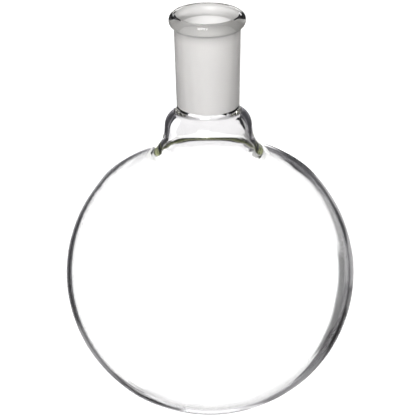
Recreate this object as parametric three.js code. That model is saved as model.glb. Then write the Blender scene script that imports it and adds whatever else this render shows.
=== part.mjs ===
// Round bottom flask of 1000 mL in borosilicate glass, with a 24/40 ground-glass socket.
// Units are millimetres, +Z is up, and the origin is the lowest point of the bulb's outside.
//
// The flask is turned from five rings of glass that are sealed end to end along one axis:
//   bulb          blown sphere, its top pressed slightly flat where the neck is sealed on
//   seal_ring     thick weld between the bulb's mouth and the neck
//   shoulder      flared foot of the neck, domed over to the socket, with the socket's clear tail
//   joint_socket  tapered tube, ground inside
//   rim_bead      fire-polished bead round the mouth

import * as THREE from 'three';

// Driving dimensions
const BULB_RADIUS = 66.0;
const BULB_WALL = 2.0;
const OVERALL_HEIGHT = 191.0;

const GROUND_LENGTH = 40.0; // a 24/40 joint: 24 mm across at the top, 40 mm long
const GROUND_TOP_RADIUS = 12.0;
const GROUND_TAPER = 1 / 20; // radius lost per millimetre of depth, for a diameter taper of 1 in 10
const GROUND_TOP_Z = 187.3;

const NECK_RADIUS_AT_FOOT = 14.1;

const BEAD_HALF_WIDTH = 2.45; // the bead's section is an oval that stands upright
const BEAD_HALF_HEIGHT = 2.95;
const BEAD_CENTRE_RADIUS = 14.75;
const BEAD_LAND = 1.2; // width of the flat that the mouth was pressed to

const SEAM_RADIUS = 28.0; // where the bulb meets the neck's weld
const SEAM_Z = 123.7;
const SEAM_SLOPE = THREE.MathUtils.degToRad(21.8); // how steeply the bulb's top falls away there
const SEAL_TOP_Z = 129.2;
const SEAL_TOP_RADIUS = 22.2;
const SEAL_TOP_BORE_RADIUS = 19.9;

const FLATTENED_FROM_RADIUS = 50.0; // the bulb is a true sphere below this circle

const RADIAL_SEGMENTS = 48;
const MERIDIAN_STEP = THREE.MathUtils.degToRad(7.5);
const STEPS_PER_POINT = 2; // facets between two points of a smooth curve

// Values that follow from them
const GROUND_FOOT_Z = GROUND_TOP_Z - GROUND_LENGTH;
const GROUND_FOOT_RADIUS = GROUND_TOP_RADIUS - GROUND_LENGTH * GROUND_TAPER;
const BEAD_LAND_ANGLE = Math.acos(BEAD_LAND / 2 / BEAD_HALF_WIDTH);
const BEAD_CENTRE_Z = OVERALL_HEIGHT - BEAD_HALF_HEIGHT * Math.sin(BEAD_LAND_ANGLE);

// Interfaces between neighbouring rings, from the outside to the inside
const SEAM_OUTER = point(SEAM_RADIUS, SEAM_Z);
const SEAM_INNER = point(
  SEAM_RADIUS - BULB_WALL * Math.sin(SEAM_SLOPE),
  SEAM_Z - BULB_WALL * Math.cos(SEAM_SLOPE),
);
const SEAL_OUTER = point(SEAL_TOP_RADIUS, SEAL_TOP_Z);
const SEAL_INNER = point(SEAL_TOP_BORE_RADIUS, SEAL_TOP_Z);
const FOOT_OUTER = point(NECK_RADIUS_AT_FOOT, GROUND_FOOT_Z);
const FOOT_INNER = point(GROUND_FOOT_RADIUS, GROUND_FOOT_Z);
const UNDER_BEAD = beadPoint(THREE.MathUtils.degToRad(-85));
const GROUND_TOP = point(GROUND_TOP_RADIUS, GROUND_TOP_Z);

// A point of an outline: its distance from the axis and its height.
function point(radius, z) {
  return new THREE.Vector2(radius, z);
}

// The point of the bead's oval section at an angle, measured from the outward horizontal.
function beadPoint(angle) {
  return point(
    BEAD_CENTRE_RADIUS + BEAD_HALF_WIDTH * Math.cos(angle),
    BEAD_CENTRE_Z + BEAD_HALF_HEIGHT * Math.sin(angle),
  );
}

function beadArc(fromAngle, toAngle, steps) {
  const points = [];
  for (let i = 0; i <= steps; i++) {
    points.push(beadPoint(THREE.MathUtils.lerp(fromAngle, toAngle, i / steps)));
  }
  return points;
}

// A smooth curve through the given points.
function smooth(points) {
  return new THREE.SplineCurve(points).getPoints(STEPS_PER_POINT * (points.length - 1));
}

// The neck's outside, in two stretches that run on smoothly: the weld, then the shoulder.
function neckOutside() {
  const weld = [
    SEAM_OUTER,
    point(26.2, 124.45),
    point(24.9, 125.45),
    point(23.9, 126.55),
    point(23.1, 127.8),
  ];
  const shoulder = [
    SEAL_OUTER,
    point(20.95, 131.7),
    point(20.1, 134.6),
    point(19.8, 138.2),
    point(19.2, 141.4),
    point(17.5, 143.9),
    point(15.3, 145.5),
    FOOT_OUTER,
  ];
  const curve = smooth([...weld, ...shoulder]);
  const sealIndex = weld.length * STEPS_PER_POINT;
  return { weld: curve.slice(0, sealIndex + 1), shoulder: curve.slice(sealIndex) };
}

// The neck's inside, downwards from the end of the socket's tail to the bulb's mouth.
function neckInside() {
  const shoulder = [
    point(GROUND_FOOT_RADIUS, 146.1),
    point(10.55, 145.3),
    point(12.3, 144.3),
    point(14.6, 142.9),
    point(16.4, 141.1),
    point(17.5, 138.7),
    point(17.95, 135.4),
    point(18.65, 131.8),
  ];
  const weld = [
    SEAL_INNER,
    point(20.75, 127.4),
    point(21.5, 125.85),
    point(22.4, 124.35),
    point(23.6, 123.2),
    point(25.3, 122.45),
    SEAM_INNER,
  ];
  const curve = smooth([...shoulder, ...weld]);
  const sealIndex = shoulder.length * STEPS_PER_POINT;
  return { shoulder: curve.slice(0, sealIndex + 1), weld: curve.slice(sealIndex) };
}

// One wall surface of the bulb, from the axis at the bottom up to the seam.
// The flattened top leaves the sphere on its tangent and runs on into the weld without a crease.
function bulbSurface(radius, seamPoint) {
  const tangentReach = 7.0;
  const seamReach = 8.1;
  const flattenAngle = Math.asin(FLATTENED_FROM_RADIUS / BULB_RADIUS);
  const latitudeOfFlatten = Math.PI / 2 - flattenAngle;

  const points = [];
  for (let latitude = -Math.PI / 2; latitude < latitudeOfFlatten; latitude += MERIDIAN_STEP) {
    const fromAxis = points.length === 0 ? 0 : radius * Math.cos(latitude);
    points.push(point(fromAxis, BULB_RADIUS + radius * Math.sin(latitude)));
  }

  const start = point(
    radius * Math.cos(latitudeOfFlatten),
    BULB_RADIUS + radius * Math.sin(latitudeOfFlatten),
  );
  const startHandle = point(
    start.x - tangentReach * Math.sin(latitudeOfFlatten),
    start.y + tangentReach * Math.cos(latitudeOfFlatten),
  );
  const seamHandle = point(
    seamPoint.x + seamReach * Math.cos(SEAM_SLOPE),
    seamPoint.y - seamReach * Math.sin(SEAM_SLOPE),
  );
  const top = new THREE.CubicBezierCurve(start, startHandle, seamHandle, seamPoint);
  return points.concat(top.getPoints(8));
}

function bulbOutline() {
  const outside = bulbSurface(BULB_RADIUS, SEAM_OUTER);
  const inside = bulbSurface(BULB_RADIUS - BULB_WALL, SEAM_INNER);
  return [...outside, ...inside.reverse()];
}

function sealRingOutline() {
  return closed([...neckOutside().weld, ...neckInside().weld]);
}

function shoulderOutline() {
  return closed([...neckOutside().shoulder, FOOT_INNER, ...neckInside().shoulder]);
}

function jointSocketOutline() {
  return closed([FOOT_OUTER, UNDER_BEAD, GROUND_TOP, FOOT_INNER]);
}

function rimBeadOutline() {
  const outside = beadArc(THREE.MathUtils.degToRad(-85), BEAD_LAND_ANGLE, 10);
  const inside = beadArc(Math.PI - BEAD_LAND_ANGLE, THREE.MathUtils.degToRad(190), 5);
  return closed([...outside, ...inside, GROUND_TOP]);
}

// Repeats the first point at the end, so that the turned outline closes on itself.
function closed(points) {
  return [...points, points[0].clone()];
}

// Turns an outline about the flask's upright axis.
function turned(outline) {
  const geometry = new THREE.LatheGeometry(outline, RADIAL_SEGMENTS);
  geometry.rotateX(Math.PI / 2);
  return geometry;
}

// Thin colourless wall.
function clearGlass() {
  return new THREE.MeshStandardMaterial({
    color: 0xf2f5f4,
    roughness: 0.03,
    metalness: 0,
    transparent: true,
    opacity: 0.35,
  });
}

// Thick glass, which looks olive green when seen along its length.
function thickGlass() {
  return new THREE.MeshStandardMaterial({
    color: 0xa9b28f,
    roughness: 0.03,
    metalness: 0,
    transparent: true,
    opacity: 0.5,
  });
}

// Glass ground to a fine white frost.
function groundGlass() {
  return new THREE.MeshStandardMaterial({ color: 0xdad8d5, roughness: 0.55, metalness: 0 });
}

function piece(name, outline, material) {
  const mesh = new THREE.Mesh(turned(outline), material);
  mesh.name = name;
  return mesh;
}

const flask = new THREE.Group();
flask.add(piece('bulb', bulbOutline(), clearGlass()));
flask.add(piece('seal_ring', sealRingOutline(), thickGlass()));
flask.add(piece('shoulder', shoulderOutline(), clearGlass()));
flask.add(piece('joint_socket', jointSocketOutline(), groundGlass()));
flask.add(piece('rim_bead', rimBeadOutline(), clearGlass()));

export default flask;
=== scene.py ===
"""Round bottom flask of 1000 mL with a 24/40 ground-glass socket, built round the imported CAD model.

Every piece of glass is turned from a fine outline and stands for the CAD node of its name. Neighbouring
pieces are one fused wall on the real flask, so the faces where they meet let light straight through.
Glass shows what is round it, so the studio is a world of cards and flags that its edges reflect and bend.
Outlines are in millimetres and meshes in metres.
"""

import math

import bpy
import numpy as np
from mathutils import Matrix, Vector


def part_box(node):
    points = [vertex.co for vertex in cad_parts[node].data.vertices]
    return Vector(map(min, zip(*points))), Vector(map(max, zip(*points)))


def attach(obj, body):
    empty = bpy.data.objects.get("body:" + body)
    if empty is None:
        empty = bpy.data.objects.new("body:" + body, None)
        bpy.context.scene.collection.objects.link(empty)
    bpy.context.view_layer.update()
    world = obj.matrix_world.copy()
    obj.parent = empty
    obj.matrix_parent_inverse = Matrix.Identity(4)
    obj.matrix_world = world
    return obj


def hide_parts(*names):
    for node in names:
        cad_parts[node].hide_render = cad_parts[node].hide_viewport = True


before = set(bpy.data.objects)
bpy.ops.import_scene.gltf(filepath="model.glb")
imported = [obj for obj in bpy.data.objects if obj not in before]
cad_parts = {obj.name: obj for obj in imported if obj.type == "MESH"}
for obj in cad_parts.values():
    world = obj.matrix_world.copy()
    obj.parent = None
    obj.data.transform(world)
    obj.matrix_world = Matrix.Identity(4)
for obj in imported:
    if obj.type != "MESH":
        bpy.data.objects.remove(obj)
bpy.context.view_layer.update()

MM = 0.001


def grey(level):
    return (level, level, level, 1)


# The flask
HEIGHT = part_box("rim_bead")[1][2] / MM
BULB_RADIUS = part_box("bulb")[1][0] / MM
BULB_WALL = 2.0
FLATTENED_FROM_RADIUS = 50.0

GROUND_TOP_RADIUS = 12.0
GROUND_LENGTH = 40.0
GROUND_TAPER = 1 / 20
GROUND_TOP_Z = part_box("joint_socket")[1][2] / MM
GROUND_FOOT_Z = GROUND_TOP_Z - GROUND_LENGTH
GROUND_FOOT_RADIUS = GROUND_TOP_RADIUS - GROUND_LENGTH * GROUND_TAPER
NECK_RADIUS_AT_FOOT = 14.1

BEAD_HALF_WIDTH = 2.45
BEAD_HALF_HEIGHT = 2.95
BEAD_CENTRE_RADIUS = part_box("rim_bead")[1][0] / MM - BEAD_HALF_WIDTH
BEAD_LAND = 1.2
LAND_ANGLE = math.degrees(math.acos(BEAD_LAND / 2 / BEAD_HALF_WIDTH))
BEAD_CENTRE_Z = HEIGHT - BEAD_HALF_HEIGHT * math.sin(math.radians(LAND_ANGLE))
UNDER_BEAD_ANGLE = -85.0
LIP_END_ANGLE = 155.0
THROAT_HANDLES = (12.2, 188.8), (12.05, 188.1)

FROST_TOP_Z = 186.0  # fire-polishing the rim has melted the frost off the last of the bore

SEAM = (28.0, 123.7)
SEAM_INSIDE = (27.25, 121.8)

# Points of the neck's two smooth curves. Each is cut where the weld's top meets the shoulder.
WELD_OUTSIDE = [SEAM, (26.2, 124.45), (24.9, 125.45), (23.9, 126.55), (23.1, 127.8)]
SHOULDER_OUTSIDE = [
    (22.2, 129.2), (20.95, 131.7), (20.1, 134.6), (19.8, 138.2),
    (19.2, 141.4), (17.5, 143.9), (15.3, 145.5), (NECK_RADIUS_AT_FOOT, GROUND_FOOT_Z),
]
SHOULDER_INSIDE = [
    (GROUND_FOOT_RADIUS, 146.1), (10.55, 145.3), (12.3, 144.3), (14.6, 142.9), (16.4, 141.1),
    (17.5, 138.7), (17.95, 135.4), (18.65, 131.8),
]
WELD_INSIDE = [
    (19.9, 129.2), (20.75, 127.4), (21.5, 125.85), (22.4, 124.35),
    (23.6, 123.2), (25.3, 122.45), SEAM_INSIDE,
]

# Fineness of the meshes
SEGMENTS = 192
CURVE_STEPS = 8
EASING = 16
BULB_STEPS = 100
TOP_STEPS = 24
BEAD_STEPS = 32
BORE_STEPS = 24

# Slots of every piece, in this order
CLEAR, GROUND, SATIN, SEALED = range(4)

# Glass
GLASS_IOR = 1.473
FROST_SHADE_AT = 0.183  # height in metres about which the frost is painted darker and lets more light through, as painted shade under the bead
FROST_SHADE_WITHIN = 0.004
BEAD_CREASE_SHADE = (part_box("rim_bead")[0][2], 0.0011, (0.28, 0.28, 0.29))  # height, reach and colour of the painted shade along the crease under the bead

# Studio. Azimuths are compass directions with 0 straight ahead of the camera and +X at 90, elevations are
# measured from the horizon, and both are in degrees, as are the softnesses of edges.
ROOM = (0.66, 0.65, 0.67, 1)
WHITE_SWEEP = 1.9
SWEEP_TO = 16.0
SWEEP_SOFTNESS = 4.0

# Soft black flags beside every main view
FLAG_EVERY = 45.0
FLAG_FROM = 12.5
FLAG_SOFTNESS = 0.8
FLAGS_FROM, FLAGS_TO = -48.0, 34.0
FLAGS_END_SOFTNESS = 4.0
FLAG_COLOUR = (0.03, 0.028, 0.034, 1)

# The shade under the flask
UNDER_FROM, UNDER_TO = -74.0, -58.0
UNDER_SOFTNESS = 3.0
UNDER = (0.22, 0.22, 0.19, 1)

# Reflections see the dark room behind the camera, but for a lit field ahead that weakens beside its middle
BEHIND_CAMERA = (0.07, 0.07, 0.072, 1)
FIELD_REACH = 30.0
FIELD_SOFTNESS = 2.0
FIELD_TOP = 8.0
FIELD_TOP_SOFTNESS = 4.0
MIDDLE_REACH = 9.0
MIDDLE_SOFTNESS = 2.0
LOSS_BESIDE_MIDDLE = 0.5

# Light that falls on ground glass: warm white, stronger from the front and the back than from the sides
FILL_SIDES = (0.27, 0.26, 0.25, 1)
FILL_FRONT = (1.46, 1.445, 1.43, 1)

# Cards ahead of the camera: azimuth range, elevation range, softness and colour
CARDS = [
    ((-16.8, -6.0), (-37.0, -11.5), 0.8, grey(2.8)),
    ((9.5, 33.0), (-25.0, -16.8), 0.8, grey(0.9)),
    ((8.5, 33.0), (-28.6, -25.5), 0.7, grey(0.38)),
    ((8.5, 12.0), (-26.5, -22.8), 0.6, grey(0.45)),
    ((5.8, 33.0), (-16.8, -6.5), 0.7, (0.01, 0.01, 0.012, 1)),
    ((12.5, 21.0), (-16.8, -10.3), 0.7, grey(1.0)),
    ((9.0, 33.0), (-7.5, 26.0), 1.0, (0.12, 0.12, 0.13, 1)),
    ((8.4, 10.8), (-30.5, -28.0), 0.6, grey(0.5)),
    ((10.2, 33.0), (-36.0, -28.4), 0.7, (0.012, 0.004, 0.003, 1)),
    ((13.5, 33.0), (-60.0, -36.5), 1.0, grey(0.7)),
    ((9.0, 14.5), (-45.0, -38.5), 0.8, grey(0.05)),
    ((-33.0, -10.0), (-11.0, 3.0), 1.0, (0.10, 0.10, 0.11, 1)),
    ((-33.0, -9.5), (3.0, 26.0), 1.0, (0.12, 0.12, 0.13, 1)),
    ((-33.0, -15.0), (-43.0, -31.0), 1.5, grey(0.75)),
    ((-21.0, -8.0), (-52.0, -36.0), 0.9, grey(0.06)),
    ((-8.5, 4.8), (-41.0, -33.2), 0.5, grey(1.75)),
    ((-8.5, 8.5), (-48.0, -41.5), 0.8, grey(0.4)),
    ((-8.0, 8.0), (3.0, 26.0), 2.5, grey(1.1)),
]

# Camera
CAMERA_DISTANCE = 1.2
CAMERA_ELEVATION = math.radians(23.1)
CAMERA_ROLL = math.radians(-0.57)
CAMERA_LENS = 226.3
CAMERA_SENSOR = 36.0
AIM = Vector((0.0004, 0.0, 0.0969))


# Outlines ------------------------------------------------------------------------------------------


def smooth(points):
    """A fair curve along the points, as an array of (radius, z): Catmull-Rom, then eased where it bends."""
    knots = np.array([points[0], *points, points[-1]], float)
    t = np.linspace(0, 1, CURVE_STEPS, endpoint=False)[:, None]
    stretches = []
    for before, start, end, after in zip(knots, knots[1:], knots[2:], knots[3:]):
        leave = (end - before) / 2
        arrive = (after - start) / 2
        cubic = 2 * start - 2 * end + leave + arrive
        square = -3 * start + 3 * end - 2 * leave - arrive
        stretches.append(((cubic * t + square) * t + leave) * t + start)
    curve = np.vstack([*stretches, knots[-1:]])
    for _ in range(EASING):
        curve[1:-1] = (curve[:-2] + 2 * curve[1:-1] + curve[2:]) / 4
    return curve


def bezier(start, leave, arrive, end, steps):
    t = np.linspace(0, 1, steps + 1)[:, None]
    s = 1 - t
    corners = [np.array(p, float) for p in (start, leave, arrive, end)]
    weights = [s**3, 3 * s**2 * t, 3 * s * t**2, t**3]
    return sum(w * p for w, p in zip(weights, corners))


def arc(centre, radius, start_degrees, end_degrees, steps):
    angle = np.radians(np.linspace(start_degrees, end_degrees, steps + 1))
    return np.column_stack([centre[0] + radius * np.cos(angle), centre[1] + radius * np.sin(angle)])


def bead_arc(start_degrees, end_degrees, steps):
    """Part of the bead's oval section, which stands upright."""
    circle = arc((0, 0), 1.0, start_degrees, end_degrees, steps)
    return (BEAD_CENTRE_RADIUS, BEAD_CENTRE_Z) + circle * (BEAD_HALF_WIDTH, BEAD_HALF_HEIGHT)


def line(start, end, steps=1):
    return np.linspace(start, end, steps + 1)


def bulb_surface(radius, seam):
    """One surface of the bulb's wall, from the axis at the bottom to the seam with the weld."""
    tangent_reach, seam_reach, seam_rise = 7.0, 7.5, 3.0
    latitude = 90 - math.degrees(math.asin(FLATTENED_FROM_RADIUS / BULB_RADIUS))
    sphere = arc((0, BULB_RADIUS), radius, -90, latitude, BULB_STEPS)
    sphere[0, 0] = 0
    slope = math.radians(latitude)
    leave = sphere[-1] + tangent_reach * np.array([-math.sin(slope), math.cos(slope)])
    arrive = (seam[0] + seam_reach, seam[1] - seam_rise)
    top = bezier(sphere[-1], leave, arrive, seam, TOP_STEPS)
    return np.vstack([sphere, top[1:]])


def neck_curves():
    """The neck's outside going up and its inside going down, each as (weld, shoulder)."""
    outside = smooth(WELD_OUTSIDE + SHOULDER_OUTSIDE)
    inside = smooth(SHOULDER_INSIDE + WELD_INSIDE)
    outside_cut = len(WELD_OUTSIDE) * CURVE_STEPS
    inside_cut = len(SHOULDER_INSIDE) * CURVE_STEPS
    return (
        (outside[: outside_cut + 1], outside[outside_cut:]),
        (inside[inside_cut:], inside[: inside_cut + 1]),
    )


(WELD_OUT, SHOULDER_OUT), (WELD_IN, SHOULDER_IN) = neck_curves()
GROUND_TOP = (GROUND_TOP_RADIUS, GROUND_TOP_Z)
BEAD_OUT = bead_arc(UNDER_BEAD_ANGLE, LAND_ANGLE, BEAD_STEPS)
BEAD_LIP = bead_arc(180 - LAND_ANGLE, LIP_END_ANGLE, BEAD_STEPS // 2)
BEAD_THROAT = bezier(BEAD_LIP[-1], *THROAT_HANDLES, GROUND_TOP, BEAD_STEPS // 2)
BEAD_IN = np.vstack([BEAD_LIP[:-1], BEAD_THROAT])
GROUND_FOOT = (GROUND_FOOT_RADIUS, GROUND_FOOT_Z)
FROST_TOP = (GROUND_TOP_RADIUS - (GROUND_TOP_Z - FROST_TOP_Z) * GROUND_TAPER, FROST_TOP_Z)


def bulb_outline():
    outside = bulb_surface(BULB_RADIUS, SEAM)
    inside = bulb_surface(BULB_RADIUS - BULB_WALL, SEAM_INSIDE)[::-1]
    return [(outside, CLEAR), (line(SEAM, SEAM_INSIDE), SEALED), (inside, CLEAR)]


def seal_ring_outline():
    return [
        (WELD_OUT, CLEAR),
        (line(WELD_OUT[-1], WELD_IN[0]), SEALED),
        (WELD_IN, CLEAR),
        (line(SEAM_INSIDE, SEAM), SEALED),
    ]


def shoulder_outline():
    return [
        (SHOULDER_OUT, CLEAR),
        (line(SHOULDER_OUT[-1], GROUND_FOOT), SEALED),
        (line(GROUND_FOOT, SHOULDER_IN[0], 2), CLEAR),
        (SHOULDER_IN, CLEAR),
        (line(SHOULDER_IN[-1], SHOULDER_OUT[0]), SEALED),
    ]


def joint_socket_outline():
    return [
        (line(SHOULDER_OUT[-1], BEAD_OUT[0], BORE_STEPS), CLEAR),
        (line(BEAD_OUT[0], GROUND_TOP), SEALED),
        (line(GROUND_TOP, FROST_TOP), SATIN),
        (line(FROST_TOP, GROUND_FOOT, BORE_STEPS), GROUND),
        (line(GROUND_FOOT, SHOULDER_OUT[-1]), SEALED),
    ]


def rim_bead_outline():
    return [
        (BEAD_OUT, CLEAR),
        (line(BEAD_OUT[-1], BEAD_IN[0]), CLEAR),
        (BEAD_IN, SATIN),
        (line(GROUND_TOP, BEAD_OUT[0]), SEALED),
    ]


# Meshes --------------------------------------------------------------------------------------------


def surface_grid(outline):
    """The points of one turned stretch, as an array of [point, segment, xyz] in mm."""
    turn = np.linspace(0, 2 * math.pi, SEGMENTS, endpoint=False)
    around = np.stack([np.cos(turn), np.sin(turn), np.zeros(SEGMENTS)], axis=1)
    up = np.array([0.0, 0.0, 1.0])
    return outline[:, None, 0:1] * around[None] + outline[:, None, 1:2] * up


def grid_normals(grid):
    """Unit normals of a turned stretch, true to the curve right up to its two ends."""
    order = 2 if len(grid) > 2 else 1
    along = np.gradient(grid, axis=0, edge_order=order)
    across = np.roll(grid, -1, axis=1) - np.roll(grid, 1, axis=1)
    flat = np.linalg.norm(across, axis=2) < 1e-9
    normals = np.cross(across, along)
    for tip, beside in ((0, 1), (-1, -2)):
        if flat[tip].all():
            normals[tip] = (0.0, 0.0, np.sign(normals[beside, 0, 2]))
    return normals / np.linalg.norm(normals, axis=2, keepdims=True)


def turned_mesh(name, stretches):
    """A closed mesh turned from stretches of outline that follow on from each other, with its slots set."""
    vertices, faces, slots, corner_normals = [], [], [], []
    ring_of = {}

    def ring(point):
        key = tuple(np.round(point, 6))
        if key not in ring_of:
            ring_of[key] = len(vertices)
            points = surface_grid(np.array([point]))[0] * MM
            vertices.extend(points[:1] if point[0] == 0 else points)
        return ring_of[key]

    for outline, slot in stretches:
        normals = grid_normals(surface_grid(outline))
        rings = [ring(point) for point in outline]
        for i in range(len(outline) - 1):
            low_is_tip, high_is_tip = outline[i][0] == 0, outline[i + 1][0] == 0
            for j in range(SEGMENTS):
                k = (j + 1) % SEGMENTS
                low = [(rings[i] + n, normals[i, n]) for n in (j, k)]
                high = [(rings[i + 1] + n, normals[i + 1, n]) for n in (k, j)]
                if low_is_tip:
                    low = [(rings[i], normals[i, j])]
                if high_is_tip:
                    high = [(rings[i + 1], normals[i + 1, j])]
                corners = low + high
                faces.append([index for index, _ in corners])
                slots.append(slot)
                corner_normals.extend(normal for _, normal in corners)

    mesh = bpy.data.meshes.new(name)
    mesh.from_pydata(vertices, [], faces)
    mesh.polygons.foreach_set("material_index", slots)
    mesh.polygons.foreach_set("use_smooth", [True] * len(faces))
    mesh.normals_split_custom_set(corner_normals)
    mesh.update()
    return mesh


def glass_piece(node, stretches, materials):
    """A piece of glass that stands for the CAD node of the same name."""
    piece = bpy.data.objects.new(f"glass_{node}", turned_mesh(f"glass_{node}", stretches))
    for material in materials:
        piece.data.materials.append(material)
    bpy.context.scene.collection.objects.link(piece)
    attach(piece, "root")
    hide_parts(node)
    return piece


# Shader nodes --------------------------------------------------------------------------------------


def maths(tree, operation, *values):
    node = tree.nodes.new("ShaderNodeMath")
    node.operation = operation
    for socket, value in zip(node.inputs, values):
        if isinstance(value, bpy.types.NodeSocket):
            tree.links.new(value, socket)
        else:
            socket.default_value = value
    return node.outputs[0]


def soft_step(tree, value, edge, softness):
    """0 below the edge and 1 above it, with a smooth change between."""
    node = tree.nodes.new("ShaderNodeMapRange")
    node.interpolation_type = "SMOOTHSTEP"
    node.inputs["From Min"].default_value = edge - softness
    node.inputs["From Max"].default_value = edge + softness
    tree.links.new(value, node.inputs["Value"])
    return node.outputs["Result"]


def between(tree, value, low, high, softness):
    above = soft_step(tree, value, low, softness)
    past = soft_step(tree, value, high, softness)
    return maths(tree, "SUBTRACT", above, past)


def mix_colour(tree, share, first, second):
    node = tree.nodes.new("ShaderNodeMix")
    node.data_type = "RGBA"
    sockets = {"Factor": share, "A": first, "B": second}
    for socket in node.inputs:
        if not socket.enabled or socket.name not in sockets:
            continue
        value = sockets[socket.name]
        if isinstance(value, bpy.types.NodeSocket):
            tree.links.new(value, socket)
        else:
            socket.default_value = value
    return next(out for out in node.outputs if out.enabled)


# Materials -----------------------------------------------------------------------------------------


def new_material(name):
    """A material with one Principled shader, and its node tree and shader."""
    material = bpy.data.materials.new(name)
    material.use_nodes = True
    return material, material.node_tree, material.node_tree.nodes["Principled BSDF"]


def noise_bump(tree, shader, scale, strength, distance, detail=2.0):
    """Relief from a noise field in the object's own metres."""
    place = tree.nodes.new("ShaderNodeTexCoord")
    noise = tree.nodes.new("ShaderNodeTexNoise")
    noise.inputs["Scale"].default_value = scale
    noise.inputs["Detail"].default_value = detail
    bump = tree.nodes.new("ShaderNodeBump")
    bump.inputs["Strength"].default_value = strength
    bump.inputs["Distance"].default_value = distance
    tree.links.new(place.outputs["Object"], noise.inputs["Vector"])
    tree.links.new(noise.outputs["Fac"], bump.inputs["Height"])
    tree.links.new(bump.outputs["Normal"], shader.inputs["Normal"])


def clear_glass(name, thin, deep, crease_shade=None):
    """Fire-polished borosilicate glass, with a deeper tint for light that was reflected inside its wall.

    The last argument is a height, a reach and a colour: round that height the glass is painted darker, as
    painted shade in the crease under the bead.
    """
    material, tree, shader = new_material(name)
    path = tree.nodes.new("ShaderNodeLightPath")
    side = tree.nodes.new("ShaderNodeNewGeometry")
    leaving = side.outputs["Backfacing"]
    reflected = maths(tree, "MINIMUM", path.outputs["Glossy Depth"], 1.0)
    long_way = maths(tree, "MULTIPLY", leaving, reflected)
    colour = mix_colour(tree, long_way, (*thin, 1), (*deep, 1))
    # Painted shade: a darker base colour round the height of the crease under the bead
    if crease_shade:
        height, reach, crease_shade_colour = crease_shade
        place = tree.nodes.new("ShaderNodeTexCoord")
        parts = tree.nodes.new("ShaderNodeSeparateXYZ")
        tree.links.new(place.outputs["Object"], parts.inputs["Vector"])
        away = maths(tree, "ABSOLUTE", maths(tree, "SUBTRACT", parts.outputs["Z"], height))
        # 0 on the painted shade of the crease, 1 away from it
        clear = soft_step(tree, away, reach / 2, reach / 2)
        colour = mix_colour(tree, clear, (*crease_shade_colour, 1), colour)
    tree.links.new(colour, shader.inputs["Base Color"])
    shader.inputs["Transmission Weight"].default_value = 1.0
    shader.inputs["Roughness"].default_value = 0.0
    shader.inputs["IOR"].default_value = GLASS_IOR
    noise_bump(tree, shader, scale=30.0, strength=0.05, distance=0.0005)
    return material


def satin_glass():
    """Ground glass that the flame has half melted smooth again, round the inside of the mouth."""
    material, tree, shader = new_material("satin_lip")
    side = tree.nodes.new("ShaderNodeNewGeometry")
    from_air, from_glass = (0.46, 0.455, 0.45, 1), (0.62, 0.615, 0.61, 1)
    colour = mix_colour(tree, side.outputs["Backfacing"], from_air, from_glass)
    tree.links.new(colour, shader.inputs["Base Color"])
    shader.inputs["Transmission Weight"].default_value = 0.25
    shader.inputs["Roughness"].default_value = 0.35
    shader.inputs["IOR"].default_value = GLASS_IOR
    noise_bump(tree, shader, scale=2500.0, strength=0.2, distance=0.00004, detail=3.0)
    return material


def ground_glass():
    """Glass ground to a fine white frost, which scatters light. Towards the mouth, under the bead, it is
    painted darker and lets more light through: painted shade of the bead.
    """
    material, tree, shader = new_material("ground_frost")
    place = tree.nodes.new("ShaderNodeTexCoord")
    height = tree.nodes.new("ShaderNodeSeparateXYZ")
    tree.links.new(place.outputs["Object"], height.inputs["Vector"])
    # Painted shade under the bead: towards the mouth the frost's colour fades to a darker grey
    bead_shade = soft_step(tree, height.outputs["Z"], FROST_SHADE_AT, FROST_SHADE_WITHIN)
    side = tree.nodes.new("ShaderNodeNewGeometry")
    from_air, from_glass = (0.76, 0.755, 0.75, 1), (0.98, 0.975, 0.97, 1)
    shaded_frost = (0.70, 0.695, 0.69, 1)
    frost = mix_colour(tree, side.outputs["Backfacing"], from_air, from_glass)
    tree.links.new(mix_colour(tree, bead_shade, frost, shaded_frost), shader.inputs["Base Color"])
    through = maths(tree, "MULTIPLY_ADD", bead_shade, 0.2, 0.1)
    tree.links.new(through, shader.inputs["Transmission Weight"])
    shader.inputs["Roughness"].default_value = 1.0
    shader.inputs["IOR"].default_value = GLASS_IOR
    noise_bump(tree, shader, scale=6000.0, strength=0.4, distance=0.00005, detail=4.0)
    return material


def sealed_face():
    """The inside of the glass where two pieces are fused: there is no surface there to see."""
    material = bpy.data.materials.new("fused_interface")
    material.use_nodes = True
    tree = material.node_tree
    tree.nodes.clear()
    through = tree.nodes.new("ShaderNodeBsdfTransparent")
    output = tree.nodes.new("ShaderNodeOutputMaterial")
    tree.links.new(through.outputs["BSDF"], output.inputs["Surface"])
    return material


# Studio --------------------------------------------------------------------------------------------


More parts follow.
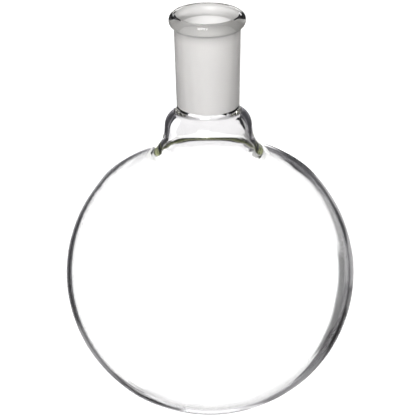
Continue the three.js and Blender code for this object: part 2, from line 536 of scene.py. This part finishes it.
def studio_world():
    """A white sweep all round, with soft black flags beside every main view, which give glass its edges."""
    world = bpy.data.worlds.new("studio")
    world.use_nodes = True
    tree = world.node_tree
    background = tree.nodes["Background"]
    direction = tree.nodes.new("ShaderNodeTexCoord")
    parts = tree.nodes.new("ShaderNodeSeparateXYZ")
    tree.links.new(direction.outputs["Generated"], parts.inputs["Vector"])
    x, y, z = parts.outputs
    azimuth = maths(tree, "DEGREES", maths(tree, "ARCTAN2", x, y))
    elevation = maths(tree, "DEGREES", maths(tree, "ARCSINE", z))
    path = tree.nodes.new("ShaderNodeLightPath")

    above = soft_step(tree, elevation, SWEEP_TO, SWEEP_SOFTNESS)
    colour = mix_colour(tree, above, grey(WHITE_SWEEP), ROOM)
    colour = mix_colour(tree, flags(tree, azimuth, elevation), colour, FLAG_COLOUR)
    shade = between(tree, elevation, UNDER_FROM, UNDER_TO, UNDER_SOFTNESS)
    colour = mix_colour(tree, shade, colour, UNDER)
    for azimuths, elevations, softness, card_colour in CARDS:
        beside = between(tree, azimuth, *azimuths, softness)
        beyond = between(tree, elevation, *elevations, softness)
        colour = mix_colour(tree, maths(tree, "MULTIPLY", beside, beyond), colour, card_colour)

    reflected = maths(tree, "MINIMUM", path.outputs["Glossy Depth"], 1.0)
    unlit = maths(tree, "SUBTRACT", 1.0, lit_field(tree, azimuth, elevation))
    colour = mix_colour(tree, maths(tree, "MULTIPLY", reflected, unlit), colour, BEHIND_CAMERA)

    ahead = maths(tree, "COSINE", maths(tree, "RADIANS", azimuth))
    fill = mix_colour(tree, maths(tree, "MULTIPLY", ahead, ahead), FILL_SIDES, FILL_FRONT)
    scattered = maths(tree, "MINIMUM", path.outputs["Diffuse Depth"], 1.0)
    colour = mix_colour(tree, scattered, colour, fill)
    colour = mix_colour(tree, path.outputs["Is Camera Ray"], colour, grey(1.0))
    tree.links.new(colour, background.inputs["Color"])
    bpy.context.scene.world = world


def flags(tree, azimuth, elevation):
    """1 on the black flags, which leave a gap ahead of every main view."""
    turns = maths(tree, "ROUND", maths(tree, "DIVIDE", azimuth, FLAG_EVERY))
    off_view = maths(tree, "SUBTRACT", azimuth, maths(tree, "MULTIPLY", turns, FLAG_EVERY))
    beside = soft_step(tree, maths(tree, "ABSOLUTE", off_view), FLAG_FROM, FLAG_SOFTNESS)
    upright = between(tree, elevation, FLAGS_FROM, FLAGS_TO, FLAGS_END_SOFTNESS)
    return maths(tree, "MULTIPLY", beside, upright)


def lit_field(tree, azimuth, elevation):
    """How much of the light ahead of the camera the reflections see."""
    low = maths(tree, "SUBTRACT", 1.0, soft_step(tree, elevation, FIELD_TOP, FIELD_TOP_SOFTNESS))
    ahead = between(tree, azimuth, -FIELD_REACH, FIELD_REACH, FIELD_SOFTNESS)
    aside = soft_step(tree, maths(tree, "ABSOLUTE", azimuth), MIDDLE_REACH, MIDDLE_SOFTNESS)
    kept = maths(tree, "MULTIPLY_ADD", aside, -LOSS_BESIDE_MIDDLE, 1.0)
    return maths(tree, "MULTIPLY", maths(tree, "MULTIPLY", ahead, low), kept)


def pale_floor():
    """A white light table. Light that has gone through the glass sees the studio under it."""
    reach = 3.0
    mesh = bpy.data.meshes.new("floor")
    corners = [(-reach, -reach, 0), (reach, -reach, 0), (reach, reach, 0), (-reach, reach, 0)]
    mesh.from_pydata(corners, [], [(0, 1, 2, 3)])
    floor = bpy.data.objects.new("floor", mesh)
    bpy.context.scene.collection.objects.link(floor)
    material, _, shader = new_material("floor_white")
    shader.inputs["Base Color"].default_value = grey(0.2)
    shader.inputs["Emission Color"].default_value = grey(1.0)
    shader.inputs["Emission Strength"].default_value = 0.95
    shader.inputs["Specular IOR Level"].default_value = 0.0
    mesh.materials.append(material)
    floor.visible_transmission = False
    floor.visible_glossy = False


def soft_box(name, azimuth, elevation, distance, size, power, diffuse):
    """A square lamp that faces the flask, and lights dull surfaces only by its diffuse share."""
    data = bpy.data.lights.new(name, "AREA")
    data.shape = "SQUARE"
    data.size = size
    data.energy = power
    data.diffuse_factor = diffuse
    lamp = bpy.data.objects.new(name, data)
    turn, rise = math.radians(azimuth), math.radians(elevation)
    towards = Vector((math.sin(turn) * math.cos(rise), math.cos(turn) * math.cos(rise), math.sin(rise)))
    lamp.location = AIM + distance * towards
    lamp.rotation_euler = towards.to_track_quat("Z", "Y").to_euler()
    lamp.visible_camera = False
    bpy.context.scene.collection.objects.link(lamp)


def camera():
    data = bpy.data.cameras.new("camera")
    data.lens = CAMERA_LENS
    data.sensor_width = CAMERA_SENSOR
    eye = bpy.data.objects.new("camera", data)
    back = Vector((0, -math.cos(CAMERA_ELEVATION), math.sin(CAMERA_ELEVATION)))
    turn = back.to_track_quat("Z", "Y").to_matrix().to_4x4() @ Matrix.Rotation(CAMERA_ROLL, 4, "Z")
    eye.matrix_world = Matrix.Translation(AIM + CAMERA_DISTANCE * back) @ turn
    bpy.context.scene.collection.objects.link(eye)
    bpy.context.scene.camera = eye


def light_paths():
    """Enough bounces for light to cross every wall of the flask."""
    cycles = bpy.context.scene.cycles
    cycles.max_bounces = 24
    cycles.transmission_bounces = 24
    cycles.glossy_bounces = 12
    cycles.transparent_max_bounces = 24


# The scene -----------------------------------------------------------------------------------------

camera()
studio_world()
pale_floor()
soft_box("key_box", azimuth=-165, elevation=34, distance=1.8, size=0.9, power=30, diffuse=0.1)
light_paths()
bpy.context.scene.view_settings.view_transform = "Standard"

# Two tints each: seen straight through the wall, and after a reflection inside it
bulb_glass = clear_glass("clear_borosilicate", (0.99, 0.99, 0.99), (0.32, 0.31, 0.33))
neck_glass = clear_glass("neck_borosilicate", (0.755, 0.75, 0.755), (0.60, 0.57, 0.64))
# The socket and the bead carry painted shade along the crease under the bead
socket_glass = clear_glass("socket_borosilicate", (0.90, 0.895, 0.89), (0.45, 0.43, 0.46), BEAD_CREASE_SHADE)
weld_glass = clear_glass("thick_borosilicate", (0.93, 0.93, 0.92), (0.34, 0.40, 0.12))
bead_glass = clear_glass("bead_borosilicate", (0.98, 0.98, 0.97), (0.30, 0.32, 0.22), BEAD_CREASE_SHADE)
finishes = [ground_glass(), satin_glass(), sealed_face()]

glass_piece("bulb", bulb_outline(), [bulb_glass, *finishes])
glass_piece("seal_ring", seal_ring_outline(), [weld_glass, *finishes])
glass_piece("shoulder", shoulder_outline(), [neck_glass, *finishes])
glass_piece("joint_socket", joint_socket_outline(), [socket_glass, *finishes])
glass_piece("rim_bead", rim_bead_outline(), [bead_glass, *finishes])
